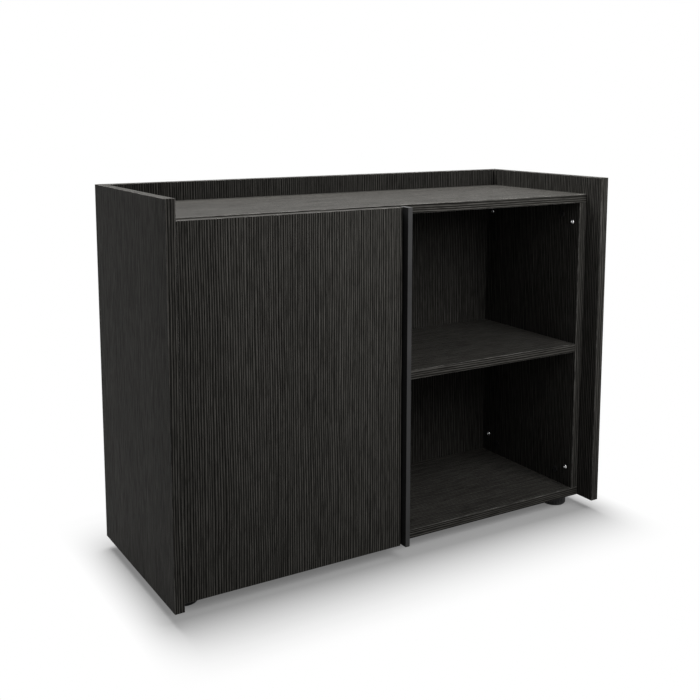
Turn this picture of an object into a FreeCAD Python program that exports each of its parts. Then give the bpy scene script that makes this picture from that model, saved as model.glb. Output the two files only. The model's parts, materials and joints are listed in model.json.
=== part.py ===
import FreeCAD, Part
import os
import Sketcher

# Sideboard with a hinged door on the left, an open bay with a shelf on the right and a low rim round the top.
# Millimetres. X runs to the right, Y to the rear, Z up. The origin is on the floor under the middle.

SIZES = (
    # Overall
    ("width", "1200"),
    ("depth", "456"),
    ("side_height", "864"),
    ("foot_height", "30"),
    ("rim_height", "45"),
    ("front_setback", "54"),
    # Boards and their edge bands
    ("side_board", "22"),
    ("rear_board", "22"),
    ("carcass_board", "22"),
    ("shelf_board", "22"),
    ("door_board", "22"),
    ("band", "1"),
    # Shelves
    ("shelf_lift", "376.5"),
    ("shelf_setback", "2"),
    ("shelf_rear_gap", "1.5"),
    ("shelf_end_gap", "0.8"),
    ("shelf_pin_dia", "5"),
    ("shelf_pin_depth", "9"),
    ("shelf_pin_reach", "8"),
    ("shelf_pin_inset", "60"),
    # Fits and cuts
    ("fit_gap", "0.1"),
    ("running_gap", "0.06"),
    ("overrun", "5"),
    # Cam joints between the uprights and the top and bottom boards
    ("cam_dia", "15"),
    ("cam_depth", "13"),
    ("cam_lift", "34"),
    ("cam_inset", "66"),
    ("cam_cap_dia", "17"),
    ("cam_cap_height", "1"),
    ("cam_bolt_dia", "6.5"),
    ("cam_bolt_thread_dia", "5"),
    ("cam_bolt_thread", "11"),
    # Dowels
    ("dowel_dia", "8"),
    ("dowel_length", "34"),
    ("dowel_sunk", "11"),
    ("dowel_inset", "98"),
    # Connector bolts between the inner and the outer sides
    ("tie_head_dia", "12"),
    ("tie_head_height", "2.6"),
    ("tie_socket_dia", "5"),
    ("tie_socket_depth", "1.6"),
    ("tie_bolt_dia", "6"),
    ("tie_sunk", "14"),
    ("tie_nut_dia", "10"),
    ("tie_lift", "52"),
    ("tie_inset", "26"),
    # Rear panel screws and their flush caps
    ("rear_screw_dia", "6.4"),
    ("rear_screw_length", "50"),
    ("rear_screw_head_dia", "10"),
    ("rear_screw_head_height", "3"),
    ("rear_screw_inset", "120"),
    ("rear_cap_dia", "12"),
    ("rear_cap_height", "1.2"),
    # Door
    ("door_side_gap", "3.5"),
    ("door_lift", "2"),
    ("door_drop", "3"),
    ("door_rear_gap", "2"),
    ("buffer_dia", "9"),
    ("buffer_inset", "60"),
    ("buffer_gap", "0.2"),
    # Handle profile on the closing edge
    ("handle_width", "12"),
    ("handle_depth", "36"),
    ("handle_groove", "6"),
    ("handle_wall", "1.6"),
    ("handle_web", "6"),
    ("tongue_length", "9"),
    ("tongue_board", "3"),
    ("tongue_setback", "1.5"),
    ("handle_plug", "8"),
    # Concealed hinges
    ("hinge_inset", "110"),
    ("hinge_pin_dia", "3"),
    ("hinge_pin_reach", "19.5"),
    ("hinge_pin_setback", "8.5"),
    ("cup_dia", "35"),
    ("cup_depth", "12"),
    ("cup_wall", "1.1"),
    ("cup_floor", "1"),
    ("cup_edge", "3.4"),
    ("cup_pin_inset", "12.4"),
    ("cup_pin_depth", "6.9"),
    ("cup_flange_width", "26"),
    ("cup_flange_height", "56"),
    ("cup_flange_board", "1"),
    ("cup_screw_spacing", "45"),
    ("cup_screw_shift", "8"),
    ("cup_screw_dia", "3.5"),
    ("cup_screw_length", "13"),
    ("link_width", "5.2"),
    ("link_height", "9"),
    ("link_elbow_inset", "30.1"),
    ("link_elbow_depth", "7.2"),
    ("arm_wall", "1.6"),
    ("arm_ear", "3.4"),
    ("arm_length", "64"),
    ("arm_channel", "17"),
    ("arm_side_gap", "0.3"),
    ("plate_board", "2"),
    ("plate_width", "16"),
    ("plate_height", "44"),
    ("plate_setback", "30"),
    ("plate_screw_spacing", "32"),
    ("plate_screw_dia", "5"),
    ("plate_screw_sunk", "12"),
    ("plate_screw_head_dia", "8"),
    ("plate_screw_head_height", "1.6"),
    # Levelling feet
    ("foot_dia", "64"),
    ("foot_round", "5"),
    ("foot_side_inset", "60"),
    ("foot_end_inset", "105"),
    ("foot_stop_gap", "0.2"),
    ("stem_dia", "10"),
    ("stem_length", "17"),
    ("socket_dia", "24"),
    ("socket_sunk", "15"),
    ("socket_flange_dia", "56"),
    ("socket_flange_board", "3"),
)

doc = FreeCAD.newDocument("sideboard")
sheet = doc.addObject("Spreadsheet::Sheet", "size")
for row, (alias, value) in enumerate(SIZES, start=1):
    sheet.set(f"A{row}", alias)
    sheet.set(f"B{row}", value)
    sheet.setAlias(f"B{row}", alias)
doc.recompute()

# Planes of the case, as expressions of the sheet
LEFT = "(-size.width / 2)"
RIGHT = "(size.width / 2)"
FRONT = "(-size.depth / 2)"
REAR = "(size.depth / 2)"
LOW = "size.foot_height"
HIGH = "(size.foot_height + size.side_height)"
CASE_LEFT = f"({LEFT} + size.side_board)"
CASE_RIGHT = f"({RIGHT} - size.side_board)"
CASE_FRONT = f"({FRONT} + size.front_setback)"
CORE_FRONT = f"({CASE_FRONT} + size.band)"
CASE_REAR = f"({REAR} - size.rear_board)"
FLOOR_BOARD_TOP = f"({LOW} + size.carcass_board)"
TRAY = f"({HIGH} - size.rim_height)"
TRAY_UNDER = f"({TRAY} - size.carcass_board)"
BAY_LEFT = f"({CASE_LEFT} + size.carcass_board)"
BAY_RIGHT = f"({CASE_RIGHT} - size.carcass_board)"
DIVIDER_LEFT = "(-size.carcass_board / 2)"
DIVIDER_RIGHT = "(size.carcass_board / 2)"
SHELF_LOW = f"({FLOOR_BOARD_TOP} + size.shelf_lift)"
SHELF_HIGH = f"({SHELF_LOW} + size.shelf_board)"
SHELF_FRONT = f"({CASE_FRONT} + size.shelf_setback)"
SHELF_REAR = f"({CASE_REAR} - size.shelf_rear_gap)"

# Planes of the closed door and its handle profile
DOOR_LEFT = f"({CASE_LEFT} + size.door_side_gap)"
DOOR_RIGHT = "(-size.handle_width - size.handle_groove)"
DOOR_BACK = f"({CASE_FRONT} - size.door_rear_gap)"
DOOR_FACE = f"({DOOR_BACK} - size.door_board)"
DOOR_LOW = f"({LOW} + size.door_lift)"
DOOR_HIGH = f"({TRAY} - size.door_drop)"
HINGE_LEVELS = (f"({DOOR_LOW} + size.hinge_inset)", f"({DOOR_HIGH} - size.hinge_inset)")

nodes = []


def solid(kind, **expressions):
    """One primitive whose sizes follow the sheet."""
    piece = doc.addObject(kind, "piece")
    for name, expression in expressions.items():
        piece.setExpression(name.replace("__", "."), expression)
    return piece


def block(x, y, z):
    """A box between three pairs of planes."""
    return solid(
        "Part::Box",
        Length=f"{x[1]} - {x[0]}",
        Width=f"{y[1]} - {y[0]}",
        Height=f"{z[1]} - {z[0]}",
        Placement__Base__x=x[0],
        Placement__Base__y=y[0],
        Placement__Base__z=z[0],
    )


TURNS = {
    "x": FreeCAD.Rotation(FreeCAD.Vector(0, 1, 0), 90),
    "y": FreeCAD.Rotation(FreeCAD.Vector(1, 0, 0), -90),
    "z": FreeCAD.Rotation(),
}


def rod(axis, start, end, across, diameter):
    """A round bar along one axis, placed by its two other coordinates in X, Y, Z order."""
    others = [name for name in "xyz" if name != axis]
    places = {axis: start, others[0]: across[0], others[1]: across[1]}
    piece = solid("Part::Cylinder", Radius=f"({diameter}) / 2", Height=f"({end}) - ({start})")
    piece.Placement.Rotation = TURNS[axis]
    for name, place in places.items():
        piece.setExpression(f"Placement.Base.{name}", place)
    return piece


def bar(start, end, width, z):
    """A flat bar between two plan points, as wide as its round ends."""
    run = f"({end[0]} - {start[0]})"
    rise = f"({end[1]} - {start[1]})"
    angle = f"atan2({rise}; {run})"
    return solid(
        "Part::Box",
        Length=f"sqrt({run} ^ 2 + {rise} ^ 2)",
        Width=width,
        Height=f"{z[1]} - {z[0]}",
        Placement__Base__x=f"{start[0]} + {width} / 2 * sin({angle})",
        Placement__Base__y=f"{start[1]} - {width} / 2 * cos({angle})",
        Placement__Base__z=z[0],
        Placement__Rotation__Angle=angle,
    )


def fuse(pieces):
    """Several solids as one."""
    joined = doc.addObject("Part::MultiFuse", "joined")
    joined.Shapes = pieces
    joined.Refine = True
    return joined


def cut(base, tools):
    """A solid with its holes and recesses taken out."""
    result = doc.addObject("Part::Cut", "cut")
    result.Base = base
    result.Tool = fuse(tools) if len(tools) > 1 else tools[0]
    return result


def node(label, piece):
    """Name one finished piece of the sideboard."""
    piece.Label = label
    nodes.append(piece)
    return piece


def group(label, pieces):
    """Name several like pieces that share one node."""
    together = doc.addObject("Part::Compound", "group")
    together.Links = pieces
    return node(label, together)


def sheet_value(expression):
    """The present value of an expression, as a first place for a sketch point."""
    return float(sheet.evalExpression(expression))


def outline(body, plane, loops, lift):
    """A sketch of straight closed loops whose corners follow the sheet."""
    sketch = body.newObject("Sketcher::SketchObject", "section")
    support = [item for item in body.Origin.OriginFeatures if item.Role == plane][0]
    sketch.AttachmentSupport = (support, "")
    sketch.MapMode = "FlatFace"
    sketch.setExpression("AttachmentOffset.Base.z", lift)
    for corners in loops:
        first = sketch.GeometryCount
        count = len(corners)
        values = [(sheet_value(x), sheet_value(y)) for x, y in corners]
        for index in range(count):
            start = FreeCAD.Vector(*values[index], 0)
            end = FreeCAD.Vector(*values[(index + 1) % count], 0)
            sketch.addGeometry(Part.LineSegment(start, end), False)
        for index in range(count):
            after = first + (index + 1) % count
            sketch.addConstraint(Sketcher.Constraint("Coincident", first + index, 2, after, 1))
        for index, (corner, value) in enumerate(zip(corners, values)):
            for name, expression, distance in zip(("DistanceX", "DistanceY"), corner, value):
                number = sketch.addConstraint(Sketcher.Constraint(name, first + index, 1, distance))
                sketch.setExpression(f"Constraints[{number}]", expression)
    return sketch


def widened(diameter, gap="size.fit_gap"):
    """The diameter of a hole round a bar, with a gap all round."""
    return f"({diameter} + 2 * {gap})"


def around(middle, half):
    """Two places at one distance either side of a middle."""
    return (f"({middle} - {half})", f"({middle} + {half})")


# Uprights of the case: name, left plane, right plane, plane with the cam locks and its outward direction
UPRIGHTS = (
    ("inner_side_left", CASE_LEFT, BAY_LEFT, BAY_LEFT, 1),
    ("inner_side_right", BAY_RIGHT, CASE_RIGHT, BAY_RIGHT, -1),
    ("centre_divider", DIVIDER_LEFT, DIVIDER_RIGHT, DIVIDER_LEFT, -1),
)
JOINT_ENDS = ((FLOOR_BOARD_TOP, 1), (TRAY_UNDER, -1))


def from_both_ends(inset):
    """Places at one inset from the front and from the rear of the case."""
    return (f"({CASE_FRONT} + {inset})", f"({CASE_REAR} - {inset})")


def span(plane, direction, start, end):
    """Two offsets from a plane along a direction, lower one first."""
    near = f"({plane} + {direction} * ({start}))"
    far = f"({plane} + {direction} * ({end}))"
    return (near, far) if direction > 0 else (far, near)


# Cam joints: a round lock in the upright's face, drawn onto a bolt that stands in the board
cams = []
cam_caps = []
cam_bolts = []
cuts = {name: [] for name, *_ in UPRIGHTS}
cuts["top_board"] = []
cuts["bottom_board"] = []
for name, left, right, face, outward in UPRIGHTS:
    middle = f"(({left} + {right}) / 2)"
    for y in from_both_ends("size.cam_inset"):
        for joint, up in JOINT_ENDS:
            level = f"({joint} + {up} * size.cam_lift)"
            board = "bottom_board" if up > 0 else "top_board"
            low, high = span(face, -outward, "0", "size.cam_depth")
            lock = rod("x", low, high, (y, level), "size.cam_dia")
            low, high = span(joint, up, "-size.overrun", "size.cam_lift + size.fit_gap")
            way = rod("z", low, high, (middle, y), widened("size.cam_bolt_dia"))
            cams.append(cut(lock, [way]))
            low, high = span(face, -outward, "-size.overrun", "size.cam_depth + size.fit_gap")
            cuts[name].append(rod("x", low, high, (y, level), widened("size.cam_dia")))
            cuts[name].append(way)
            low, high = span(face, outward, "0", "size.cam_cap_height")
            cam_caps.append(rod("x", low, high, (y, level), "size.cam_cap_dia"))
            low, high = span(joint, up, "0", "size.cam_lift")
            shank = rod("z", low, high, (middle, y), "size.cam_bolt_dia")
            low, high = span(joint, up, "-size.cam_bolt_thread", "0")
            thread = rod("z", low, high, (middle, y), "size.cam_bolt_thread_dia")
            cam_bolts.append(fuse([shank, thread]))
            low, high = span(joint, up, "-size.cam_bolt_thread - size.fit_gap", "size.overrun")
            cuts[board].append(rod("z", low, high, (middle, y), widened("size.cam_bolt_thread_dia")))

# Dowels beside the cam joints
dowels = []
for name, left, right, _, _ in UPRIGHTS:
    middle = f"(({left} + {right}) / 2)"
    for y in from_both_ends("size.dowel_inset"):
        for joint, up in JOINT_ENDS:
            board = "bottom_board" if up > 0 else "top_board"
            end = "size.dowel_length - size.dowel_sunk"
            low, high = span(joint, up, "-size.dowel_sunk", end)
            dowels.append(rod("z", low, high, (middle, y), "size.dowel_dia"))
            low, high = span(joint, up, "-size.dowel_sunk - size.fit_gap", f"{end} + size.fit_gap")
            hole = rod("z", low, high, (middle, y), widened("size.dowel_dia"))
            cuts[board].append(hole)
            cuts[name].append(hole)

# Connector bolts: a round head inside the bay, through the inner side into a sleeve nut in the outer side
tie_bolts = []
tie_nuts = []
cuts["outer_side_left"] = []
cuts["outer_side_right"] = []
TIED = (
    ("inner_side_left", "outer_side_left", BAY_LEFT, CASE_LEFT, 1),
    ("inner_side_right", "outer_side_right", BAY_RIGHT, CASE_RIGHT, -1),
)
for inner, outer, face, seam, inward in TIED:
    for y in from_both_ends("size.tie_inset"):
        for joint, up in JOINT_ENDS:
            across = (y, f"({joint} + {up} * size.tie_lift)")
            low, high = span(face, inward, "0", "size.tie_head_height")
            head = rod("x", low, high, across, "size.tie_head_dia")
            low, high = span(face, inward, "size.tie_head_height - size.tie_socket_depth",
                             "size.tie_head_height + size.overrun")
            socket = rod("x", low, high, across, "size.tie_socket_dia")
            low, high = span(seam, inward, "-size.tie_sunk", "size.carcass_board")
            shank = rod("x", low, high, across, "size.tie_bolt_dia")
            tie_bolts.append(cut(fuse([head, shank]), [socket]))
            low, high = span(seam, inward, "-size.overrun", "size.carcass_board + size.overrun")
            cuts[inner].append(rod("x", low, high, across, widened("size.tie_bolt_dia")))
            low, high = span(seam, inward, "-size.tie_sunk", "0")
            sleeve = rod("x", low, high, across, "size.tie_nut_dia")
            low, high = span(seam, inward, "-size.tie_sunk - size.overrun", "size.overrun")
            tie_nuts.append(cut(sleeve, [rod("x", low, high, across, widened("size.tie_bolt_dia"))]))
            low, high = span(seam, inward, "-size.tie_sunk - size.fit_gap", "size.overrun")
            cuts[outer].append(rod("x", low, high, across, widened("size.tie_nut_dia")))

# Shelves on pins; each bay has one shelf
BAYS = (
    ("shelf_door_bay", "inner_side_left", BAY_LEFT, "centre_divider", DIVIDER_LEFT),
    ("shelf_open_bay", "centre_divider", DIVIDER_RIGHT, "inner_side_right", BAY_RIGHT),
)
shelf_pins = []
shelf_bands = []
for shelf, left_board, left, right_board, right in BAYS:
    ends = (f"({left} + size.shelf_end_gap)", f"({right} - size.shelf_end_gap)")
    core = (f"({SHELF_FRONT} + size.band)", SHELF_REAR)
    node(shelf, block(ends, core, (SHELF_LOW, SHELF_HIGH)))
    shelf_bands.append(block(ends, (SHELF_FRONT, core[0]), (SHELF_LOW, SHELF_HIGH)))
    level = f"({SHELF_LOW} - size.shelf_pin_dia / 2 - size.fit_gap)"
    for board, face, inward in ((left_board, left, 1), (right_board, right, -1)):
        for y in (f"({SHELF_FRONT} + size.shelf_pin_inset)", f"({SHELF_REAR} - size.shelf_pin_inset)"):
            low, high = span(face, inward, "-size.shelf_pin_depth", "size.shelf_pin_reach")
            shelf_pins.append(rod("x", low, high, (y, level), "size.shelf_pin_dia"))
            low, high = span(face, inward, "-size.shelf_pin_depth - size.fit_gap", "size.overrun")
            cuts[board].append(rod("x", low, high, (y, level), widened("size.shelf_pin_dia")))
group("shelf_front_bands", shelf_bands)
group("shelf_pins", shelf_pins)

# Screws through the rear panel into the top and bottom boards, under flush caps
rear_screws = []
rear_caps = []
cuts["rear_panel"] = []
CAP_SEAT = f"({REAR} - size.rear_cap_height)"
HEAD_SEAT = f"({CAP_SEAT} - size.rear_screw_head_height)"
SCREW_END = f"({CAP_SEAT} - size.rear_screw_length)"
SCREW_ROW = (f"({CASE_LEFT} + size.rear_screw_inset)", "0", f"({CASE_RIGHT} - size.rear_screw_inset)")
for board, level in (
    ("bottom_board", f"({LOW} + size.carcass_board / 2)"),
    ("top_board", f"({TRAY} - size.carcass_board / 2)"),
):
    for x in SCREW_ROW:
        across = (x, level)
        head = rod("y", HEAD_SEAT, CAP_SEAT, across, "size.rear_screw_head_dia")
        shank = rod("y", SCREW_END, HEAD_SEAT, across, "size.rear_screw_dia")
        rear_screws.append(fuse([head, shank]))
        rear_caps.append(rod("y", CAP_SEAT, REAR, across, "size.rear_cap_dia"))
        past = f"({REAR} + size.overrun)"
        through = rod("y", f"({SCREW_END} - size.fit_gap)", past, across, widened("size.rear_screw_dia"))
        recess = rod("y", HEAD_SEAT, past, across, widened("size.rear_screw_head_dia"))
        cap_seat = rod("y", CAP_SEAT, past, across, widened("size.rear_cap_dia"))
        cuts["rear_panel"] += [through, recess, cap_seat]
        cuts[board].append(through)

# Levelling feet: a socket let into the bottom board, and a round foot on a threaded stem
sockets = []
FEET = (
    ("foot_front_left", f"({LEFT} + size.foot_side_inset)", f"({FRONT} + size.foot_end_inset)"),
    ("foot_front_right", f"({RIGHT} - size.foot_side_inset)", f"({FRONT} + size.foot_end_inset)"),
    ("foot_rear_left", f"({LEFT} + size.foot_side_inset)", f"({REAR} - size.foot_end_inset)"),
    ("foot_rear_right", f"({RIGHT} - size.foot_side_inset)", f"({REAR} - size.foot_end_inset)"),
)
FLANGE_UNDER = f"({LOW} - size.socket_flange_board)"
FOOT_TOP = f"({FLANGE_UNDER} - size.foot_stop_gap)"


def turned_foot(x, y):
    """A round foot with a rounded lower edge and a stem, turned about its own axis."""
    body = doc.addObject("PartDesign::Body", "foot")
    stem_top = f"({FOOT_TOP} + size.stem_length)"
    half = (
        ("0", "0"),
        ("size.foot_dia / 2", "0"),
        ("size.foot_dia / 2", FOOT_TOP),
        ("size.stem_dia / 2", FOOT_TOP),
        ("size.stem_dia / 2", stem_top),
        ("0", stem_top),
    )
    section = outline(body, "XZ_Plane", (half,), "0")
    turning = body.newObject("PartDesign::Revolution", "turning")
    turning.Profile = section
    turning.ReferenceAxis = (section, ["V_Axis"])
    doc.recompute()
    rim = [
        f"Edge{number}"
        for number, edge in enumerate(turning.Shape.Edges, start=1)
        if edge.BoundBox.ZMax <= sheet_value("size.fit_gap") and edge.BoundBox.XLength > 0
    ]
    rounding = body.newObject("PartDesign::Fillet", "rounding")
    rounding.Base = (turning, rim)
    rounding.setExpression("Radius", "size.foot_round")
    body.setExpression("Placement.Base.x", x)
    body.setExpression("Placement.Base.y", y)
    return body


for name, x, y in FEET:
    flange = rod("z", FLANGE_UNDER, LOW, (x, y), "size.socket_flange_dia")
    barrel = rod("z", LOW, f"({LOW} + size.socket_sunk)", (x, y), "size.socket_dia")
    bore_end = f"({FOOT_TOP} + size.stem_length + size.fit_gap)"
    bore_start = f"({FLANGE_UNDER} - size.overrun)"
    bore = rod("z", bore_start, bore_end, (x, y), widened("size.stem_dia", "size.running_gap"))
    sockets.append(cut(fuse([flange, barrel]), [bore]))
    cuts["bottom_board"].append(
        rod("z", f"({LOW} - size.overrun)", f"({LOW} + size.socket_sunk + size.fit_gap)", (x, y),
            widened("size.socket_dia")))
    node(name, turned_foot(x, y))
group("foot_sockets", sockets)

# Concealed hinges in plan: the fixed pin on the arm, the link's elbow, and the pin in the door's cup
FIXED_PIN = (f"({BAY_LEFT} + size.hinge_pin_reach)", f"({CASE_FRONT} + size.hinge_pin_setback)")
ELBOW = (f"({DOOR_LEFT} + size.link_elbow_inset)", f"({DOOR_BACK} - size.link_elbow_depth)")
CUP_PIN = (f"({DOOR_LEFT} + size.cup_pin_inset)", f"({DOOR_BACK} - size.cup_pin_depth)")
CUP_X = f"({DOOR_LEFT} + size.cup_edge + size.cup_dia / 2)"
CUP_BOTTOM = f"({DOOR_BACK} - size.cup_depth)"
CUP_PIN_EDGE = f"({CUP_X} - {CUP_PIN[0]} + size.hinge_pin_dia / 2)"
CUP_PIN_HALF = f"sqrt((size.cup_dia / 2) ^ 2 - {CUP_PIN_EDGE} ^ 2)"
ARM_FRONT = f"({FIXED_PIN[1]} - size.arm_ear)"
ARM_REAR = f"({ARM_FRONT} + size.arm_length)"
ARM_OUTER = f"({FIXED_PIN[0]} + size.arm_ear)"
ARM_INNER = f"({ARM_OUTER} - size.arm_channel)"
WEB_FRONT = f"({FIXED_PIN[1]} + size.arm_ear)"
WEB_INNER = f"({ARM_OUTER} - size.arm_wall)"
CHANNEL_HALF = "(size.link_height / 2 + size.arm_side_gap)"
ARM_HALF = f"({CHANNEL_HALF} + size.arm_wall)"
PLATE_FRONT = f"({CASE_FRONT} + size.plate_setback)"
PLATE_REAR = f"({PLATE_FRONT} + size.plate_width)"
PLATE_TOP = f"({BAY_LEFT} + size.plate_board)"
RAIL_HALF = f"({CHANNEL_HALF} - size.fit_gap)"

arms = []
plates = []
plate_screws = []
fixed_pins = []
links = []
cups = []
cup_pins = []
cup_screws = []
cuts["door_panel"] = []
for level in HINGE_LEVELS:
    link_z = around(level, "size.link_height / 2")
    eye = widened("size.hinge_pin_dia", "size.running_gap")
    sleeve = widened("size.hinge_pin_dia")

    # Arm: a channel that opens to the side of the case, with its web cut away round the fixed pin
    shell = block((ARM_INNER, ARM_OUTER), (ARM_FRONT, ARM_REAR), around(level, ARM_HALF))
    length = (f"({ARM_FRONT} - size.overrun)", f"({ARM_REAR} + size.overrun)")
    channel = block((f"({ARM_INNER} - size.overrun)", WEB_INNER), length, around(level, CHANNEL_HALF))
    mouth_x = (WEB_INNER, f"({ARM_OUTER} + size.overrun)")
    mouth = block(mouth_x, (length[0], WEB_FRONT), around(level, CHANNEL_HALF))
    pin_way = rod("z", *around(level, f"({ARM_HALF} + size.overrun)"), FIXED_PIN, sleeve)
    arms.append(cut(shell, [channel, mouth, pin_way]))
    fixed_pins.append(rod("z", *around(level, ARM_HALF), FIXED_PIN, "size.hinge_pin_dia"))

    # Mounting plate: two wings on the inner side and a rail inside the arm
    wings = block((BAY_LEFT, PLATE_TOP), (PLATE_FRONT, PLATE_REAR), around(level, "size.plate_height / 2"))
    rail_x = (BAY_LEFT, f"({WEB_INNER} - size.fit_gap)")
    rail = block(rail_x, (PLATE_FRONT, ARM_REAR), around(level, RAIL_HALF))
    screw_y = f"(({PLATE_FRONT} + {PLATE_REAR}) / 2)"
    ways = []
    for z in around(level, "size.plate_screw_spacing / 2"):
        head_top = f"({PLATE_TOP} + size.plate_screw_head_height)"
        head = rod("x", PLATE_TOP, head_top, (screw_y, z), "size.plate_screw_head_dia")
        tip = f"({BAY_LEFT} - size.plate_screw_sunk)"
        shank = rod("x", tip, PLATE_TOP, (screw_y, z), "size.plate_screw_dia")
        plate_screws.append(fuse([head, shank]))
        way = rod("x", f"({tip} - size.fit_gap)", f"({head_top} + size.overrun)", (screw_y, z),
                  widened("size.plate_screw_dia"))
        ways.append(way)
        cuts["inner_side_left"].append(way)
    plates.append(cut(fuse([wings, rail]), ways))

    # Link: a cranked bar with an eye at each end
    rounds = [rod("z", *link_z, place, "size.link_width") for place in (FIXED_PIN, ELBOW, CUP_PIN)]
    runs = [bar(FIXED_PIN, ELBOW, "size.link_width", link_z), bar(ELBOW, CUP_PIN, "size.link_width", link_z)]
    past = around(level, "(size.link_height / 2 + size.overrun)")
    eyes = [rod("z", *past, place, eye) for place in (FIXED_PIN, CUP_PIN)]
    links.append(cut(fuse(rounds + runs), eyes))

    # Cup: a round shell with a screwed flange, let into the back of the door
    cup_across = (CUP_X, level)
    shell = rod("y", CUP_BOTTOM, DOOR_BACK, cup_across, "size.cup_dia")
    flange_x = around(CUP_X, "size.cup_flange_width / 2")
    flange_z = around(level, "size.cup_flange_height / 2")
    flange_seat = f"({DOOR_BACK} - size.cup_flange_board)"
    flange = block(flange_x, (flange_seat, DOOR_BACK), flange_z)
    past_back = f"({DOOR_BACK} + size.overrun)"
    hollow = rod("y", f"({CUP_BOTTOM} + size.cup_floor)", past_back, cup_across,
                 "(size.cup_dia - 2 * size.cup_wall)")
    pin_way = rod("z", *around(level, CUP_PIN_HALF), CUP_PIN, sleeve)
    cup_pins.append(rod("z", *around(level, CUP_PIN_HALF), CUP_PIN, "size.hinge_pin_dia"))
    ways = []
    for z in around(level, "size.cup_screw_spacing / 2"):
        across = (f"({CUP_X} + size.cup_screw_shift)", z)
        tip = f"({DOOR_BACK} - size.cup_screw_length)"
        cup_screws.append(rod("y", tip, DOOR_BACK, across, "size.cup_screw_dia"))
        ways.append(rod("y", f"({tip} - size.fit_gap)", past_back, across, widened("size.cup_screw_dia")))
    cups.append(cut(fuse([shell, flange]), [hollow, pin_way] + ways))
    seat_x = (f"({flange_x[0]} - size.fit_gap)", f"({flange_x[1]} + size.fit_gap)")
    seat_z = (f"({flange_z[0]} - size.fit_gap)", f"({flange_z[1]} + size.fit_gap)")
    cuts["door_panel"] += ways + [
        rod("y", f"({CUP_BOTTOM} - size.fit_gap)", past_back, cup_across, widened("size.cup_dia")),
        block(seat_x, (flange_seat, past_back), seat_z),
    ]
group("hinge_arms", arms)
group("hinge_arm_pins", fixed_pins)
group("hinge_plates", plates)
group("hinge_plate_screws", plate_screws)
group("hinge_links", links)
group("hinge_cups", cups)
group("hinge_cup_pins", cup_pins)
group("hinge_cup_screws", cup_screws)

# Handle: a hollow blade that stands proud of the door, held by a tongue in the door's closing edge
BLADE_LEFT = "(-size.handle_width)"
BLADE_FRONT = f"({DOOR_BACK} - size.handle_depth)"
WEB_SEAT = f"({DOOR_BACK} - size.handle_web)"
TONGUE_END = f"({DOOR_RIGHT} - size.tongue_length)"
TONGUE_BACK = f"({DOOR_BACK} - size.tongue_setback)"
TONGUE_FACE = f"({TONGUE_BACK} - size.tongue_board)"
body = doc.addObject("PartDesign::Body", "handle")
section = outline(
    body,
    "XY_Plane",
    (
        (
            (BLADE_LEFT, BLADE_FRONT),
            ("0", BLADE_FRONT),
            ("0", DOOR_BACK),
            (DOOR_RIGHT, DOOR_BACK),
            (DOOR_RIGHT, TONGUE_BACK),
            (TONGUE_END, TONGUE_BACK),
            (TONGUE_END, TONGUE_FACE),
            (DOOR_RIGHT, TONGUE_FACE),
            (DOOR_RIGHT, WEB_SEAT),
            (BLADE_LEFT, WEB_SEAT),
        ),
        (
            (f"({BLADE_LEFT} + size.handle_wall)", f"({BLADE_FRONT} + size.handle_wall)"),
            ("(-size.handle_wall)", f"({BLADE_FRONT} + size.handle_wall)"),
            ("(-size.handle_wall)", f"({DOOR_BACK} - size.handle_wall)"),
            (f"({BLADE_LEFT} + size.handle_wall)", f"({DOOR_BACK} - size.handle_wall)"),
        ),
    ),
    DOOR_LOW,
)
extrusion = body.newObject("PartDesign::Pad", "extrusion")
extrusion.Profile = section
extrusion.setExpression("Length", f"{DOOR_HIGH} - {DOOR_LOW}")
doc.recompute()
node("handle_profile", body)

tongue_slot = block(
    (f"({TONGUE_END} - size.fit_gap)", f"({DOOR_RIGHT} + size.overrun)"),
    (f"({TONGUE_FACE} - size.fit_gap)", f"({TONGUE_BACK} + size.fit_gap)"),
    (f"({DOOR_LOW} - size.overrun)", f"({DOOR_HIGH} + size.overrun)"),
)
cuts["door_panel"].append(tongue_slot)
PLUG_X = (f"({BLADE_LEFT} + size.handle_wall + size.fit_gap)", "(-size.handle_wall - size.fit_gap)")
PLUG_FRONT = f"({BLADE_FRONT} + size.handle_wall + size.fit_gap)"
PLUG_BACK = f"({DOOR_BACK} - size.handle_wall - size.fit_gap)"
PLUG_Y = (PLUG_FRONT, PLUG_BACK)
group("handle_plugs", [
    block(PLUG_X, PLUG_Y, (DOOR_LOW, f"({DOOR_LOW} + size.handle_plug)")),
    block(PLUG_X, PLUG_Y, (f"({DOOR_HIGH} - size.handle_plug)", DOOR_HIGH)),
])

# Door: a board with a band on its hinge edge and on its upper and lower edges
DOOR_CORE_LEFT = f"({DOOR_LEFT} + size.band)"
DOOR_CORE_LOW = f"({DOOR_LOW} + size.band)"
DOOR_CORE_HIGH = f"({DOOR_HIGH} - size.band)"
door_y = (DOOR_FACE, DOOR_BACK)
door_x = (DOOR_CORE_LEFT, DOOR_RIGHT)
node("door_panel", cut(block(door_x, door_y, (DOOR_CORE_LOW, DOOR_CORE_HIGH)), cuts["door_panel"]))
node("door_upright_band", block((DOOR_LEFT, DOOR_CORE_LEFT), door_y, (DOOR_LOW, DOOR_HIGH)))
group("door_level_bands", [
    cut(block(door_x, door_y, (DOOR_LOW, DOOR_CORE_LOW)), [tongue_slot]),
    cut(block(door_x, door_y, (DOOR_CORE_HIGH, DOOR_HIGH)), [tongue_slot]),
])
BUFFER_X = f"({DOOR_RIGHT} - size.buffer_inset)"
group("door_buffers", [
    rod("y", DOOR_BACK, f"({CASE_FRONT} - size.buffer_gap)", (BUFFER_X, level), "size.buffer_dia")
    for level in (f"({LOW} + size.carcass_board / 2)", f"({TRAY} - size.carcass_board / 2)")
])

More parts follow.
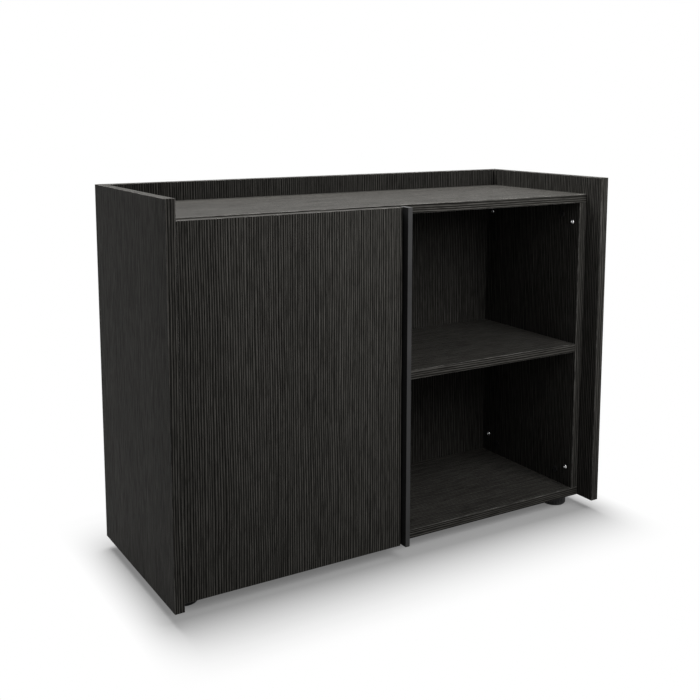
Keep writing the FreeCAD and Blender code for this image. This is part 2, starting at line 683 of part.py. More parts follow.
# Outer sides, with bands on their front, upper and rear edges
SIDES = (("outer_side_left", (LEFT, CASE_LEFT)), ("outer_side_right", (CASE_RIGHT, RIGHT)))
SIDE_CORE_Y = (f"({FRONT} + size.band)", f"({REAR} - size.band)")
CORE_HIGH = f"({HIGH} - size.band)"
for name, x in SIDES:
    node(name, cut(block(x, SIDE_CORE_Y, (LOW, CORE_HIGH)), cuts[name]))
group("outer_side_front_bands", [block(x, (FRONT, SIDE_CORE_Y[0]), (LOW, HIGH)) for _, x in SIDES])
group("outer_side_rear_bands", [block(x, (SIDE_CORE_Y[1], REAR), (LOW, HIGH)) for _, x in SIDES])
group("outer_side_top_bands", [block(x, SIDE_CORE_Y, (CORE_HIGH, HIGH)) for _, x in SIDES])

# Rear panel between the outer sides, with a band on its upper edge
case_x = (CASE_LEFT, CASE_RIGHT)
node("rear_panel", cut(block(case_x, (CASE_REAR, REAR), (LOW, CORE_HIGH)), cuts["rear_panel"]))
node("rear_panel_top_band", block(case_x, (CASE_REAR, REAR), (CORE_HIGH, HIGH)))

# Case boards, with a band on each front edge
case_y = (CORE_FRONT, CASE_REAR)
band_y = (CASE_FRONT, CORE_FRONT)
upright_z = (FLOOR_BOARD_TOP, TRAY_UNDER)
top_z = (TRAY_UNDER, TRAY)
bottom_z = (LOW, FLOOR_BOARD_TOP)
node("top_board", cut(block(case_x, case_y, top_z), cuts["top_board"]))
node("bottom_board", cut(block(case_x, case_y, bottom_z), cuts["bottom_board"]))
for name, left, right, _, _ in UPRIGHTS:
    node(name, cut(block((left, right), case_y, upright_z), cuts[name]))
group("case_level_bands", [block(case_x, band_y, z) for z in (top_z, bottom_z)])
group("case_upright_bands", [block((left, right), band_y, upright_z) for _, left, right, _, _ in UPRIGHTS])

group("cam_locks", cams)
group("cam_caps", cam_caps)
group("cam_bolts", cam_bolts)
group("dowels", dowels)
group("connector_bolts", tie_bolts)
group("connector_nuts", tie_nuts)
group("rear_screws", rear_screws)
group("rear_screw_caps", rear_caps)

doc.recompute()
for item in doc.Objects:
    if "Invalid" in item.State or "Error" in item.State:
        raise RuntimeError(f"{item.Label} did not recompute: {item.State}")
for item in nodes:
    if item.Shape.isNull() or not item.Shape.isValid():
        raise RuntimeError(f"{item.Label} has no valid shape")

os.makedirs("parts", exist_ok=True)
for item in nodes:
    item.Shape.exportStep(f"parts/{item.Label}.step")
    print(item.Label, len(item.Shape.Solids), round(item.Shape.Volume))
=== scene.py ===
import json
import math

import bmesh
import bpy
from mathutils import Matrix, Vector

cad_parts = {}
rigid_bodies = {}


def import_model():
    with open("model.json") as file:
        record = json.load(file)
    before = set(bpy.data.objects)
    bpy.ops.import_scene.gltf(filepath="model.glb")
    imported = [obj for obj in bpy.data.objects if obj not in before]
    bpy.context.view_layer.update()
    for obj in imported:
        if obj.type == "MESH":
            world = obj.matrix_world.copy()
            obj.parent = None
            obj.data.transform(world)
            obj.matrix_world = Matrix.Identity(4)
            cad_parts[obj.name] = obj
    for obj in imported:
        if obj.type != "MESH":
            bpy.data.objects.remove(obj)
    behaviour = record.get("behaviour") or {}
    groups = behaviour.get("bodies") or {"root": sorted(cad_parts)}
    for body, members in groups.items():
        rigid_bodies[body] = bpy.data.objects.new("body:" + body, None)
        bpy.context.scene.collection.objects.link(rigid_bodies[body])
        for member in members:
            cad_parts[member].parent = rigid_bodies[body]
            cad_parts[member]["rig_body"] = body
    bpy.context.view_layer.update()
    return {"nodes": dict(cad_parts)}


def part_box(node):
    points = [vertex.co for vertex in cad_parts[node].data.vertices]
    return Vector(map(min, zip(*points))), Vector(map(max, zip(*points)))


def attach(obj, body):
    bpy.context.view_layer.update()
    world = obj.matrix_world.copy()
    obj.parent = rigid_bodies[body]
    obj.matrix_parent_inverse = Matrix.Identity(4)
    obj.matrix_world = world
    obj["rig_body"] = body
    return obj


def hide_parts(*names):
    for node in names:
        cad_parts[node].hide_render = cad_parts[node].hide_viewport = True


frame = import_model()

nodes = frame["nodes"]


# Case: a top and a bottom board with two inner sides and a divider standing between them. 22 mm chipboard
# faced with near-black brushed oak, whose grain runs along the level boards and up the standing ones.
def put(tree, kind, inputs=None, **options):
    """Add one node to a finish, with its options set and its inputs filled or wired."""
    item = tree.nodes.new("ShaderNode" + kind)
    for name, value in options.items():
        setattr(item, name, value)
    for socket, value in (inputs or {}).items():
        if isinstance(value, bpy.types.NodeSocket):
            tree.links.new(value, item.inputs[socket])
        else:
            item.inputs[socket].default_value = value
    return next(socket for socket in item.outputs if socket.enabled)


def sum_of(tree, *parts):
    """Add up several values, each times its own weight."""
    total = 0.0
    for value, weight in parts:
        total = put(tree, "Math", {0: value, 1: weight, 2: total}, operation="MULTIPLY_ADD")
    return total


def ramp(tree, value, *stops):
    """Turn a value into a colour through several stops."""
    item = tree.nodes.new("ShaderNodeValToRGB")
    tree.links.new(value, item.inputs[0])
    while len(item.color_ramp.elements) < len(stops):
        item.color_ramp.elements.new(0.5)
    for element, (place, colour) in zip(item.color_ramp.elements, stops):
        element.position = place
        element.color = (*colour, 1.0)
    return item.outputs[0]


def between(tree, value, low, high, start, end):
    """Carry one span of a value over to another."""
    sockets = {"Value": value, "From Min": low, "From Max": high, "To Min": start, "To Max": end}
    return put(tree, "MapRange", sockets, interpolation_type="SMOOTHSTEP")


def new_finish(name):
    """A finish with nothing on it yet: the material, its tree and its surface shader."""
    material = bpy.data.materials.new(name)
    material.use_nodes = True
    return material, material.node_tree, material.node_tree.nodes["Principled BSDF"]


def arris_wear_and_highlight(tree):
    """One on the rounded edges of a squared piece, in uneven patches, and nothing on its flat faces: rubbed
    wear and a painted highlight.
    """
    coords = tree.nodes.new("ShaderNodeTexCoord")
    facing = put(tree, "VectorMath", {0: coords.outputs["Normal"]}, operation="ABSOLUTE")
    split = tree.nodes.new("ShaderNodeSeparateXYZ")
    tree.links.new(facing, split.inputs[0])
    widest = put(tree, "Math", {0: split.outputs[0], 1: split.outputs[1]}, operation="MAXIMUM")
    widest = put(tree, "Math", {0: widest, 1: split.outputs[2]}, operation="MAXIMUM")
    slant = between(tree, widest, 0.86, 0.985, 1.0, 0.0)
    patches = put(tree, "TexNoise", {"Vector": coords.outputs["Object"], "Scale": 38.0, "Detail": 3.0})
    rubbed = between(tree, patches, 0.38, 0.66, 0.25, 1.0)
    return put(tree, "Math", {0: slant, 1: rubbed}, operation="MULTIPLY")


OAK_DEEP = (0.004, 0.0038, 0.0034)
OAK_MIDDLE = (0.0425, 0.0407, 0.0371)
OAK_PALE = (0.114, 0.1097, 0.1006)
# Paler colour on the rounded corners of the bands: rubbed wear and a painted highlight.
OAK_RUBBED_HIGHLIGHT = (0.28, 0.272, 0.258)
OAK_GLOSS = 0.02
GROWTH_SPACING, FINE_SPACING, SWAY_REACH, RELIEF_DEPTH = 0.0058, 0.0031, 0.008, 0.0007
# Width and length of the streaks in the grain, in metres.
SWAY_STREAK, STRENGTH_STREAK, FIBRE_STREAK = (0.16, 0.55), (0.005, 0.065), (0.0016, 0.045)
TONE_STREAK, PORE_STREAK = (0.070, 1.6), (0.0011, 0.024)


def brushed_oak(name, along, worn_and_highlit=False, painted_shade_tint=1.0):
    """Near-black oak with thin pale growth lines, open pores and a shallow brushed relief along one axis."""
    material, tree, surface = new_finish(name)
    where = tree.nodes.new("ShaderNodeTexCoord").outputs["Object"]
    across = [0.0 if axis == along else 1.0 for axis in "xyz"]

    def streaks(size, detail, source):
        width, length = size
        scale = [1.0 / length if axis == along else 1.0 / width for axis in "xyz"]
        stretched = put(tree, "Mapping", {"Vector": source, "Scale": scale})
        return put(tree, "TexNoise", {"Vector": stretched, "Scale": 1.0, "Detail": detail, "Roughness": 0.6})

    sway = streaks(SWAY_STREAK, 1.5, where)
    shifted = put(tree, "VectorMath", {0: across, 1: sway}, operation="MULTIPLY")
    swayed = put(tree, "VectorMath", {0: shifted, 1: (SWAY_REACH,) * 3, 2: where}, operation="MULTIPLY_ADD")
    crosswise = put(tree, "VectorMath", {0: swayed, 1: across}, operation="DOT_PRODUCT")

    def lines(spacing, stray, start):
        jitter = streaks((spacing * 3.0, 0.7), 1.0, swayed)
        phase = sum_of(tree, (crosswise, 2.0 * math.pi / spacing), (jitter, stray))
        wave = put(tree, "Math", {0: phase}, operation="SINE")
        return between(tree, wave, start, 1.0, 0.0, 1.0)

    strength = between(tree, streaks(STRENGTH_STREAK, 2.0, swayed), 0.32, 0.60, 0.55, 1.0)
    growth = put(tree, "Math", {0: lines(GROWTH_SPACING, 8.0, -0.4), 1: strength}, operation="MULTIPLY")
    fine = lines(FINE_SPACING, 9.0, -0.6)
    fibre = streaks(FIBRE_STREAK, 2.0, swayed)
    tone = streaks(TONE_STREAK, 1.0, swayed)
    pores = between(tree, streaks(PORE_STREAK, 1.0, swayed), 0.58, 0.72, 0.0, 1.0)
    level = sum_of(tree, (growth, 0.42), (fine, 0.16), (fibre, 0.38), (tone, 0.09), (pores, -0.12))
    # A tint below one darkens the whole finish: painted shade.
    deep, middle, pale = [[part * painted_shade_tint for part in shade] for shade in (OAK_DEEP, OAK_MIDDLE, OAK_PALE)]
    colour = ramp(tree, level, (0.22, deep), (0.52, middle), (0.88, pale))
    if worn_and_highlit:
        # The rounded corners turn paler: rubbed wear and a painted highlight.
        colour = put(tree, "MixRGB", {0: arris_wear_and_highlight(tree), 1: colour, 2: (*OAK_RUBBED_HIGHLIGHT, 1.0)})
    tree.links.new(colour, surface.inputs["Base Color"])
    tree.links.new(between(tree, level, 0.22, 0.80, 0.66, 0.46), surface.inputs["Roughness"])
    relief = put(tree, "Bump", {"Height": level, "Strength": 0.4, "Distance": RELIEF_DEPTH})
    tree.links.new(relief, surface.inputs["Normal"])
    surface.inputs["Specular IOR Level"].default_value = OAK_GLOSS
    return material


def clad(material, *names):
    """Give pieces of the frame their finish."""
    for name in names:
        nodes[name].data.materials.clear()
        nodes[name].data.materials.append(material)


level_oak = brushed_oak("brushed_oak_level", "x")
upright_oak = brushed_oak("brushed_oak_upright", "z")
clad(level_oak, "top_board", "bottom_board")
clad(upright_oak, "inner_side_left", "inner_side_right", "centre_divider")


# Edge bands of the case: 1 mm strips with the boards' own grain, glued on the front edges. Their two long
# corners are rounded over after gluing; there the dark stain is rubbed a little paler and a highlight painted.
def alone(piece):
    """Make one piece the only thing picked."""
    bpy.ops.object.select_all(action="DESELECT")
    piece.select_set(True)
    bpy.context.view_layer.objects.active = piece


def worked_copy(name, node):
    """A copy of a piece of the frame, its loose faces joined, open for working."""
    piece = bpy.data.objects.new(name, nodes[node].data.copy())
    bpy.context.scene.collection.objects.link(piece)
    piece.data.materials.clear()
    alone(piece)
    bpy.ops.mesh.customdata_custom_splitnormals_clear()
    bpy.ops.object.mode_set(mode="EDIT")
    bpy.ops.mesh.select_all(action="SELECT")
    bpy.ops.mesh.remove_doubles(threshold=0.000001)
    bpy.ops.mesh.dissolve_limited(angle_limit=math.radians(2.0))
    return piece


def pick_edges(piece, test):
    """Pick the edges whose two ends pass a test."""
    bpy.ops.mesh.select_mode(type="EDGE")
    bpy.ops.mesh.select_all(action="DESELECT")
    mesh = bmesh.from_edit_mesh(piece.data)
    for edge in mesh.edges:
        edge.select_set(test(edge.verts[0].co, edge.verts[1].co))
    bmesh.update_edit_mesh(piece.data)


def stand_for(piece, node, material):
    """Close a worked piece and let it stand for a piece of the frame."""
    if piece.mode == "EDIT":
        bpy.ops.object.mode_set(mode="OBJECT")
    piece.data.materials.append(material)
    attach(piece, nodes[node]["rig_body"])
    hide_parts(node)


ARRIS, SNUG = 0.0009, 0.00001


def round_over(node, along, outward, material):
    """Round over the long corners of the bands in one node, on the side that faces outward."""
    low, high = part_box(node)
    faces = [(axis, low[axis] if side < 0 else high[axis]) for axis, side in outward]

    def outer_corner(a, b):
        lengthwise = abs(a[along] - b[along]) > 0.5 * (a - b).length
        return lengthwise and any(abs(a[axis] - at) + abs(b[axis] - at) < SNUG for axis, at in faces)

    piece = worked_copy(node + "_rounded", node)
    pick_edges(piece, outer_corner)
    bpy.ops.mesh.bevel(offset=ARRIS, segments=3, affect="EDGES")
    stand_for(piece, node, material)


X, Y, Z = range(3)
level_band = brushed_oak("oak_band_level", "x", worn_and_highlit=True)
upright_band = brushed_oak("oak_band_upright", "z", worn_and_highlit=True)
round_over("case_level_bands", X, [(Y, -1)], level_band)
round_over("case_upright_bands", Z, [(Y, -1)], upright_band)


# Fittings of the case: steel cam locks, their bolts and beech dowels between the boards. They are hidden but
# for the black plastic caps over the locks, moulded with a soft rim and a shallow dish.
def plated(name, colour, smooth, rough):
    """Bare or plated metal with faint drawn lines and uneven shine."""
    material, tree, surface = new_finish(name)
    where = tree.nodes.new("ShaderNodeTexCoord").outputs["Object"]
    cloud = put(tree, "TexNoise", {"Vector": where, "Scale": 140.0, "Detail": 4.0})
    drawn = put(tree, "Mapping", {"Vector": where, "Scale": (900.0, 240.0, 3200.0)})
    scratch = put(tree, "TexNoise", {"Vector": drawn, "Scale": 1.0, "Detail": 2.0})
    mixed = sum_of(tree, (cloud, 0.6), (scratch, 0.4))
    dull = [part * 0.82 for part in colour]
    tree.links.new(ramp(tree, mixed, (0.36, dull), (0.64, colour)), surface.inputs["Base Color"])
    tree.links.new(between(tree, mixed, 0.36, 0.66, smooth, rough), surface.inputs["Roughness"])
    relief = put(tree, "Bump", {"Height": scratch, "Strength": 0.12, "Distance": 0.00005})
    tree.links.new(relief, surface.inputs["Normal"])
    surface.inputs["Metallic"].default_value = 1.0
    return material


def moulded(name, colour, grain, smooth, rough):
    """Moulded plastic or rubber with a fine spark-eroded grain."""
    material, tree, surface = new_finish(name)
    where = tree.nodes.new("ShaderNodeTexCoord").outputs["Object"]
    fine = put(tree, "TexNoise", {"Vector": where, "Scale": grain, "Detail": 2.0})
    broad = put(tree, "TexNoise", {"Vector": where, "Scale": 55.0, "Detail": 3.0})
    mixed = sum_of(tree, (fine, 0.5), (broad, 0.5))
    paler = [part * 1.7 + 0.002 for part in colour]
    tree.links.new(ramp(tree, mixed, (0.38, colour), (0.66, paler)), surface.inputs["Base Color"])
    tree.links.new(between(tree, mixed, 0.36, 0.64, smooth, rough), surface.inputs["Roughness"])
    relief = put(tree, "Bump", {"Height": fine, "Strength": 0.3, "Distance": 0.00012})
    tree.links.new(relief, surface.inputs["Normal"])
    surface.inputs["Specular IOR Level"].default_value = 0.3
    return material


def plain_beech(name):
    """Turned beech with pale flecked fibre."""
    material, tree, surface = new_finish(name)
    where = tree.nodes.new("ShaderNodeTexCoord").outputs["Object"]
    stretched = put(tree, "Mapping", {"Vector": where, "Scale": (1400.0, 1400.0, 90.0)})
    fibre = put(tree, "TexNoise", {"Vector": stretched, "Scale": 1.0, "Detail": 3.0})
    colour = ramp(tree, fibre, (0.36, (0.36, 0.20, 0.10)), (0.64, (0.58, 0.38, 0.22)))
    tree.links.new(colour, surface.inputs["Base Color"])
    tree.links.new(between(tree, fibre, 0.35, 0.65, 0.7, 0.5), surface.inputs["Roughness"])
    relief = put(tree, "Bump", {"Height": fibre, "Strength": 0.3, "Distance": 0.0001})
    tree.links.new(relief, surface.inputs["Normal"])
    return material


zinc_steel = plated("zinc_steel", (0.52, 0.53, 0.55), 0.26, 0.44)
black_plastic = moulded("black_plastic", (0.009, 0.009, 0.0095), 2600.0, 0.42, 0.6)
clad(zinc_steel, "cam_locks", "cam_bolts")
clad(plain_beech("turned_beech"), "dowels")


def set_copies(name, pattern, places):
    """Copies of one small piece, each turned and set in its own place, joined under one name."""
    copies = []
    for place, turn in places:
        piece = bpy.data.objects.new(name, pattern.data.copy())
        bpy.context.scene.collection.objects.link(piece)
        piece.data.transform(Matrix.Translation(place) @ turn)
        copies.append(piece)
    bpy.data.objects.remove(pattern)
    bpy.ops.object.select_all(action="DESELECT")
    for piece in copies:
        piece.select_set(True)
    bpy.context.view_layer.objects.active = copies[0]
    bpy.ops.object.join()
    joined = bpy.context.view_layer.objects.active
    joined.name = name
    return joined


def pick_faces(piece, test):
    """Pick the faces whose middle and direction pass a test."""
    bpy.ops.mesh.select_mode(type="FACE")
    bpy.ops.mesh.select_all(action="DESELECT")
    mesh = bmesh.from_edit_mesh(piece.data)
    for face in mesh.faces:
        face.select_set(test(face.calc_center_median(), face.normal))
    bmesh.update_edit_mesh(piece.data)


def turned_blank(radius, low, high, sides):
    """A round blank on the Z axis, open for working."""
    bpy.ops.object.select_all(action="DESELECT")
    bpy.ops.mesh.primitive_cylinder_add(
        vertices=sides, radius=radius, depth=high - low, location=(0.0, 0.0, (low + high) / 2.0))
    bpy.ops.object.transform_apply(location=True, rotation=True, scale=True)
    bpy.ops.object.mode_set(mode="EDIT")
    return bpy.context.object


def at_level(height):
    """A test for edges that lie at one height."""
    return lambda a, b: abs(a.z - height) + abs(b.z - height) < SNUG


def outer_ring(height, radius):
    """A test for the outermost edges of a round piece at one height."""
    return lambda a, b: at_level(height)(a, b) and min(a.xy.length, b.xy.length) > radius - 10.0 * SNUG


TO_RIGHT = Matrix.Rotation(math.radians(90.0), 4, "Y")
TO_LEFT = Matrix.Rotation(math.radians(-90.0), 4, "Y")
BAY_LEFT, BAY_RIGHT, DIVIDER_LEFT = -0.556, 0.556, -0.011
CAP_RADIUS, CAP_HEIGHT, CAP_RIM, CAP_STEP, CAP_DISH, CAP_ROUND = 0.0085, 0.001, 0.0016, 0.0008, 0.0004, 0.0006
CAP_DEPTHS, CAP_LEVELS = (-0.108, 0.140), (0.086, 0.793)
cap = turned_blank(CAP_RADIUS, 0.0, CAP_HEIGHT, 40)
pick_faces(cap, lambda middle, facing: facing.z > 0.9)
bpy.ops.mesh.inset(thickness=CAP_RIM)
bpy.ops.mesh.inset(thickness=CAP_STEP, depth=-CAP_DISH)
pick_edges(cap, outer_ring(CAP_HEIGHT, CAP_RADIUS))
bpy.ops.mesh.bevel(offset=CAP_ROUND, segments=3, affect="EDGES")
bpy.ops.object.mode_set(mode="OBJECT")
bpy.ops.object.shade_smooth_by_angle(angle=math.radians(30.0))
cap_places = [
    (Vector((face, y, z)), turn)
    for face, turn in ((BAY_LEFT, TO_RIGHT), (BAY_RIGHT, TO_LEFT), (DIVIDER_LEFT, TO_LEFT))
    for y in CAP_DEPTHS
    for z in CAP_LEVELS
]
stand_for(set_copies("cam_cap_covers", cap, cap_places), "cam_caps", black_plastic)


# Shelves: one loose board in each bay, lying on four steel pins. Each has the grain and the front band of the
# level boards.
clad(level_oak, "shelf_door_bay", "shelf_open_bay")
clad(zinc_steel, "shelf_pins")
round_over("shelf_front_bands", X, [(Y, -1)], level_band)


# Outer sides: two upright boards that reach past the case at the front, above and at the rear, banded on
# those three edges. Bright bolts in each bay draw them onto the inner sides through sleeve nuts.
clad(upright_oak, "outer_side_left", "outer_side_right")
depth_band = brushed_oak("oak_band_depth", "y", worn_and_highlit=True)
round_over("outer_side_front_bands", Z, [(Y, -1)], upright_band)
round_over("outer_side_rear_bands", Z, [(Y, 1)], upright_band)
round_over("outer_side_top_bands", Y, [(Z, 1)], depth_band)
clad(zinc_steel, "connector_nuts")
chrome = plated("bright_chrome", (0.93, 0.93, 0.94), 0.24, 0.36)

HEAD_RADIUS, HEAD_HEIGHT, HEAD_ROUND, SHANK_RADIUS, SHANK_LENGTH = 0.006, 0.0026, 0.0023, 0.003, 0.036
KEY_RADIUS, KEY_FLOOR, KEY_TOP = 0.0025, 0.001, 0.005
BOLT_DEPTHS, BOLT_LEVELS = (-0.148, 0.180), (0.104, 0.775)
bolt = turned_blank(HEAD_RADIUS, 0.0, HEAD_HEIGHT, 48)
pick_faces(bolt, lambda middle, facing: facing.z < -0.9)
bpy.ops.mesh.inset(thickness=HEAD_RADIUS - SHANK_RADIUS)
bpy.ops.mesh.extrude_region_move(TRANSFORM_OT_translate={"value": (0.0, 0.0, -SHANK_LENGTH)})
pick_edges(bolt, at_level(HEAD_HEIGHT))
bpy.ops.mesh.bevel(offset=HEAD_ROUND, segments=7, affect="EDGES")
bpy.ops.object.mode_set(mode="OBJECT")
key_hole = turned_blank(KEY_RADIUS, KEY_FLOOR, KEY_TOP, 6)
bpy.ops.object.mode_set(mode="OBJECT")
alone(bolt)
hollow = bolt.modifiers.new("key_hole", "BOOLEAN")
hollow.object = key_hole
bpy.ops.object.modifier_apply(modifier="key_hole")
bpy.data.objects.remove(key_hole)
bpy.ops.object.shade_smooth_by_angle(angle=math.radians(30.0))
bolt_places = [
    (Vector((face, y, z)), turn)
    for face, turn in ((BAY_LEFT, TO_RIGHT), (BAY_RIGHT, TO_LEFT))
    for y in BOLT_DEPTHS
    for z in BOLT_LEVELS
]
stand_for(set_copies("connector_bolts_bright", bolt, bolt_places), "connector_bolts", chrome)


# Rear panel: an upright board between the outer sides, screwed to the top and bottom boards and standing up
# behind the top as a low rim. Its oak is drawn darker as painted shade, and flush caps hide the screws.
# The rear oak is drawn darker as painted shade on the rim and the backs of the bays.
clad(brushed_oak("brushed_oak_rear_painted_shade", "z", painted_shade_tint=0.7), "rear_panel")
round_over("rear_panel_top_band", X, [(Z, 1)], level_band)
clad(zinc_steel, "rear_screws")
clad(black_plastic, "rear_screw_caps")


# Levelling feet: black plastic pucks on stems that screw into flanged sockets under the bottom board. The rim
# has shallow grips for the fingers, and the lower edge is rounded.
clad(black_plastic, "foot_sockets")
FOOT_RADIUS, FOOT_TOP, FOOT_ROUND, FOOT_ARRIS, FOOT_SIDES = 0.032, 0.0268, 0.005, 0.0015, 72
STEM_RADIUS, STEM_LENGTH = 0.005, 0.017
GRIP_MARGIN, GRIP_DEPTH = 0.0011, 0.0009
FOOT_X, FOOT_Y = 0.540, 0.123
foot = turned_blank(FOOT_RADIUS, 0.0, FOOT_TOP, FOOT_SIDES)
pick_faces(foot, lambda middle, facing: facing.z > 0.9)
bpy.ops.mesh.inset(thickness=FOOT_RADIUS - STEM_RADIUS)
bpy.ops.mesh.extrude_region_move(TRANSFORM_OT_translate={"value": (0.0, 0.0, STEM_LENGTH)})
pick_edges(foot, at_level(0.0))
bpy.ops.mesh.bevel(offset=FOOT_ROUND, segments=5, affect="EDGES")
pick_edges(foot, outer_ring(FOOT_TOP, FOOT_RADIUS))
bpy.ops.mesh.bevel(offset=FOOT_ARRIS, segments=3, affect="EDGES")


def finger_grip(middle, facing):
    """True for two of every three side faces round the rim."""
    turn = math.degrees(math.atan2(middle.y, middle.x)) % 360.0
    upright = abs(facing.z) < 0.1 and middle.xy.length > 0.9 * FOOT_RADIUS
    return upright and int(turn // (360.0 / FOOT_SIDES)) % 3 != 0


pick_faces(foot, finger_grip)
bpy.ops.mesh.inset(thickness=GRIP_MARGIN, depth=-GRIP_DEPTH, use_boundary=True)
bpy.ops.object.mode_set(mode="OBJECT")
bpy.ops.object.shade_smooth_by_angle(angle=math.radians(28.0))
for end, y in (("front", -FOOT_Y), ("rear", FOOT_Y)):
    for side, x in (("left", -FOOT_X), ("right", FOOT_X)):
        puck = bpy.data.objects.new(f"levelling_foot_{end}_{side}", foot.data.copy())
        bpy.context.scene.collection.objects.link(puck)
        puck.data.transform(Matrix.Translation((x, y, 0.0)))
        stand_for(puck, f"foot_{end}_{side}", black_plastic)
bpy.data.objects.remove(foot)


# Concealed hinges: pressed and nickel-plated steel arms on screwed mounting plates, links on riveted pins, and
# cups let into the back of the door. They show only when the door is open.
nickel = plated("nickel_plate", (0.66, 0.65, 0.63), 0.30, 0.46)
clad(nickel, "hinge_arms", "hinge_links", "hinge_cups")
clad(zinc_steel, "hinge_plates", "hinge_plate_screws", "hinge_arm_pins", "hinge_cup_pins", "hinge_cup_screws")


# Door: a 22 mm board with upright grain, banded on its hinge edge and above and below. Two soft buffers on
# its back meet the case.
clad(upright_oak, "door_panel")
round_over("door_upright_band", Z, [(X, -1)], upright_band)
round_over("door_level_bands", X, [(Z, -1), (Z, 1)], level_band)
clad(moulded("buffer_rubber", (0.16, 0.16, 0.155), 1800.0, 0.35, 0.55), "door_buffers")


# Handle: an extruded aluminium blade, powder-coated anthracite, that runs the whole height of the door's
# closing edge on a tongue. Its finger groove is painted near-black as shade; black plugs close its two ends.
BLADE_LEFT, GROOVE_LEFT, GROOVE_BACK, BLADE_ROUND = -0.012, -0.018, -0.182, 0.0005
# Near-black painted shade inside the finger groove, where the blade keeps the light out.
GROOVE_PAINTED_SHADE = (0.0015, 0.0015, 0.0015)


def powder_coat(name, colour):
    """Powder coat with a fine orange-peel skin, its corners paler (wear and painted highlight), painted shade
    in the groove.
    """
    material, tree, surface = new_finish(name)
    where = tree.nodes.new("ShaderNodeTexCoord").outputs["Object"]
    peel = put(tree, "TexNoise", {"Vector": where, "Scale": 1500.0, "Detail": 2.0})
    cloud = put(tree, "TexNoise", {"Vector": where, "Scale": 16.0, "Detail": 3.0})
    # The corners turn paler: rubbed wear and a painted highlight.
    mixed = sum_of(tree, (peel, 0.45), (cloud, 0.55), (arris_wear_and_highlight(tree), 0.25))
    darker = [part * 0.72 for part in colour]
    paler = [part * 1.35 for part in colour]
    place = tree.nodes.new("ShaderNodeSeparateXYZ")
    tree.links.new(where, place.inputs[0])
    # Painted shade: the groove wall left of the blade is drawn near-black, and made fully rough.
    groove = between(tree, place.outputs[0], BLADE_LEFT - 0.0002, BLADE_LEFT + 0.0003, 1.0, 0.0)
    shown = ramp(tree, mixed, (0.34, darker), (0.62, colour), (0.9, paler))
    shown = put(tree, "MixRGB", {0: groove, 1: shown, 2: (*GROOVE_PAINTED_SHADE, 1.0)})
    tree.links.new(shown, surface.inputs["Base Color"])
    gloss = between(tree, mixed, 0.36, 0.64, 0.42, 0.56)
    tree.links.new(put(tree, "Math", {0: gloss, 1: groove}, operation="MAXIMUM"), surface.inputs["Roughness"])
    relief = put(tree, "Bump", {"Height": peel, "Strength": 0.25, "Distance": 0.00008})
    tree.links.new(relief, surface.inputs["Normal"])
    surface.inputs["Specular IOR Level"].default_value = 0.05
    return material


def blade_corner(a, b):
    """The upright corners of the blade and its groove, but not of the hidden tongue."""
    shown = a.x > GROOVE_LEFT - BLADE_ROUND and (abs(a.x) < SNUG or a.y < GROOVE_BACK + BLADE_ROUND)
    return shown and abs(a.z - b.z) > 0.5


handle = worked_copy("handle_blade", "handle_profile")
pick_edges(handle, blade_corner)
bpy.ops.mesh.bevel(offset=BLADE_ROUND, segments=3, affect="EDGES")
stand_for(handle, "handle_profile", powder_coat("anthracite_coat", (0.058, 0.058, 0.059)))
clad(black_plastic, "handle_plugs")


# Floor and background: a plain white sheet with a painted shadow close round the sideboard, deepest under the
# base and hardly at its two ends. It carries less light than it shows, so the boards stay dark.
def seen_rays(tree):
    """One for rays from the lens, off metal and through glass, and nothing for those that carry light."""
    path = tree.nodes.new("ShaderNodeLightPath")
    seen = path.outputs["Is Camera Ray"]
    for other in ("Is Glossy Ray", "Is Transmission Ray"):
        seen = put(tree, "Math", {0: seen, 1: path.outputs[other]}, operation="MAXIMUM")
    return seen


FLOOR_SIZE = 24.0
BASE_HALF = (0.59, 0.2, 0.0)
END_REACH, VEIL_REACH, CONTACT_REACH, SHADE_REACH = 0.10, 0.30, 0.24, 0.27
SHADE_DEPTH, CONTACT_FLOOR = 0.72, 0.16
bpy.ops.object.select_all(action="DESELECT")
bpy.ops.mesh.primitive_plane_add(size=FLOOR_SIZE, location=(0.0, 0.0, 0.0))
floor = bpy.context.object
floor.name = "studio_floor"
paper, tree, surface = new_finish("white_paper")
seen = seen_rays(tree)
tree.links.new(between(tree, seen, 0.0, 1.0, 0.18, 0.82), surface.inputs["Base Color"])
surface.inputs["Roughness"].default_value = 0.9
surface.inputs["Specular IOR Level"].default_value = 0.0
where = tree.nodes.new("ShaderNodeTexCoord").outputs["Object"]
beyond = put(tree, "VectorMath", {0: where}, operation="ABSOLUTE")
beyond = put(tree, "VectorMath", {0: beyond, 1: BASE_HALF}, operation="SUBTRACT")
beyond = put(tree, "VectorMath", {0: beyond, 1: (0.0, 0.0, 0.0)}, operation="MAXIMUM")
distance = put(tree, "VectorMath", {0: beyond}, operation="LENGTH")
sideways = put(tree, "VectorMath", {0: beyond, 1: (1.0, 0.0, 0.0)}, operation="DOT_PRODUCT")
beside = put(tree, "MapRange", {"Value": sideways, "From Max": END_REACH})
veil = between(tree, distance, 0.0, VEIL_REACH, 0.75, 1.0)
veil = put(tree, "Mix", {"Factor": beside, "A": veil, "B": 1.0})
veil = put(tree, "Math", {0: veil, 1: seen}, operation="MULTIPLY")
# Painted shadow: the floor's glow is darkened by occlusion near the base.
contact = tree.nodes.new("ShaderNodeAmbientOcclusion")
contact.inputs["Distance"].default_value = CONTACT_REACH
shade = put(tree, "Math", {0: contact.outputs["AO"], 1: 1.2}, operation="POWER")
shade = put(tree, "Math", {0: shade, 1: 1.0 - CONTACT_FLOOR, 2: CONTACT_FLOOR}, operation="MULTIPLY_ADD")
# A painted shadow that falls off with distance from the base.
near = put(tree, "MapRange", {"Value": distance, "From Max": SHADE_REACH, "To Min": 1.0, "To Max": 0.0})
painted_shadow_falloff = put(tree, "Math", {0: near, 1: 1.9}, operation="POWER")
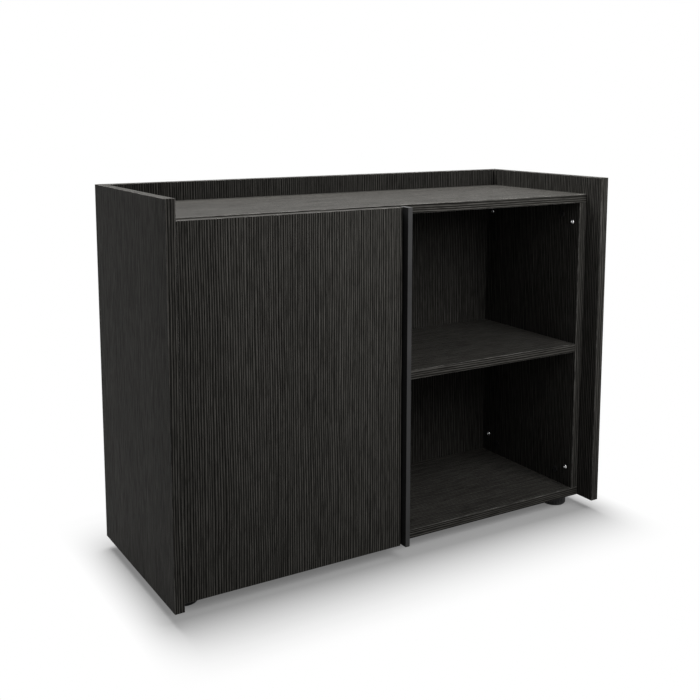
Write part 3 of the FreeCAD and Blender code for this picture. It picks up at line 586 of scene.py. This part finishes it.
painted_shadow_falloff = put(tree, "Math", {0: painted_shadow_falloff, 1: -SHADE_DEPTH, 2: 1.0}, operation="MULTIPLY_ADD")
shade = put(tree, "Math", {0: shade, 1: painted_shadow_falloff}, operation="MINIMUM")
shade = put(tree, "Mix", {"Factor": beside, "A": shade, "B": 1.0})
white = put(tree, "Emission", {"Color": (1.0, 1.0, 1.0, 1.0), "Strength": shade})
blend = put(tree, "MixShader", {0: veil, 1: surface.outputs[0], 2: white})
tree.links.new(blend, tree.nodes["Material Output"].inputs["Surface"])
floor.data.materials.append(paper)

sky = bpy.data.worlds.new("studio")
bpy.context.scene.world = sky
sky.use_nodes = True
background = sky.node_tree.nodes["Background"]
background.inputs["Color"].default_value = (1.0, 1.0, 1.0, 1.0)
strength = between(sky.node_tree, seen_rays(sky.node_tree), 0.0, 1.0, 0.2, 1.0)
sky.node_tree.links.new(strength, background.inputs["Strength"])


# Light: one broad soft box above and a little to the rear, which catches the top, and a much weaker one from
# the front right, which models the door and reaches into the open bay.
def soft_box(name, place, aim, size, power):
    """A square lamp that faces a point."""
    bpy.ops.object.light_add(type="AREA", location=place)
    lamp = bpy.context.object
    lamp.name = name
    lamp.data.size = size
    lamp.data.energy = power
    lamp.visible_camera = False
    lamp.rotation_euler = (Vector(aim) - Vector(place)).to_track_quat("-Z", "Y").to_euler()


soft_box("box_above", place=(0.0, 1.3, 4.2), aim=(0.0, 0.0, 0.0), size=3.0, power=380.0)
soft_box("box_front", place=(0.55, -1.25, 1.4), aim=(-0.1, -0.2, 0.5), size=0.9, power=19.5)


# Camera: a little above the top and to the left of the front, tipped slightly down. A small shift of the lens
# does the rest of the framing.
TIPPED_DOWN, TURNED_RIGHT = math.radians(7.712), math.radians(31.164)
bpy.ops.object.camera_add(
    location=(-1.2956, -2.0779, 1.0664),
    rotation=(math.radians(90.0) - TIPPED_DOWN, 0.0, -TURNED_RIGHT))
camera = bpy.context.object
camera.data.lens = 51.268
camera.data.sensor_width = 36.0
camera.data.shift_y = -0.15
bpy.context.scene.camera = camera
bpy.context.scene.view_settings.view_transform = "Standard"
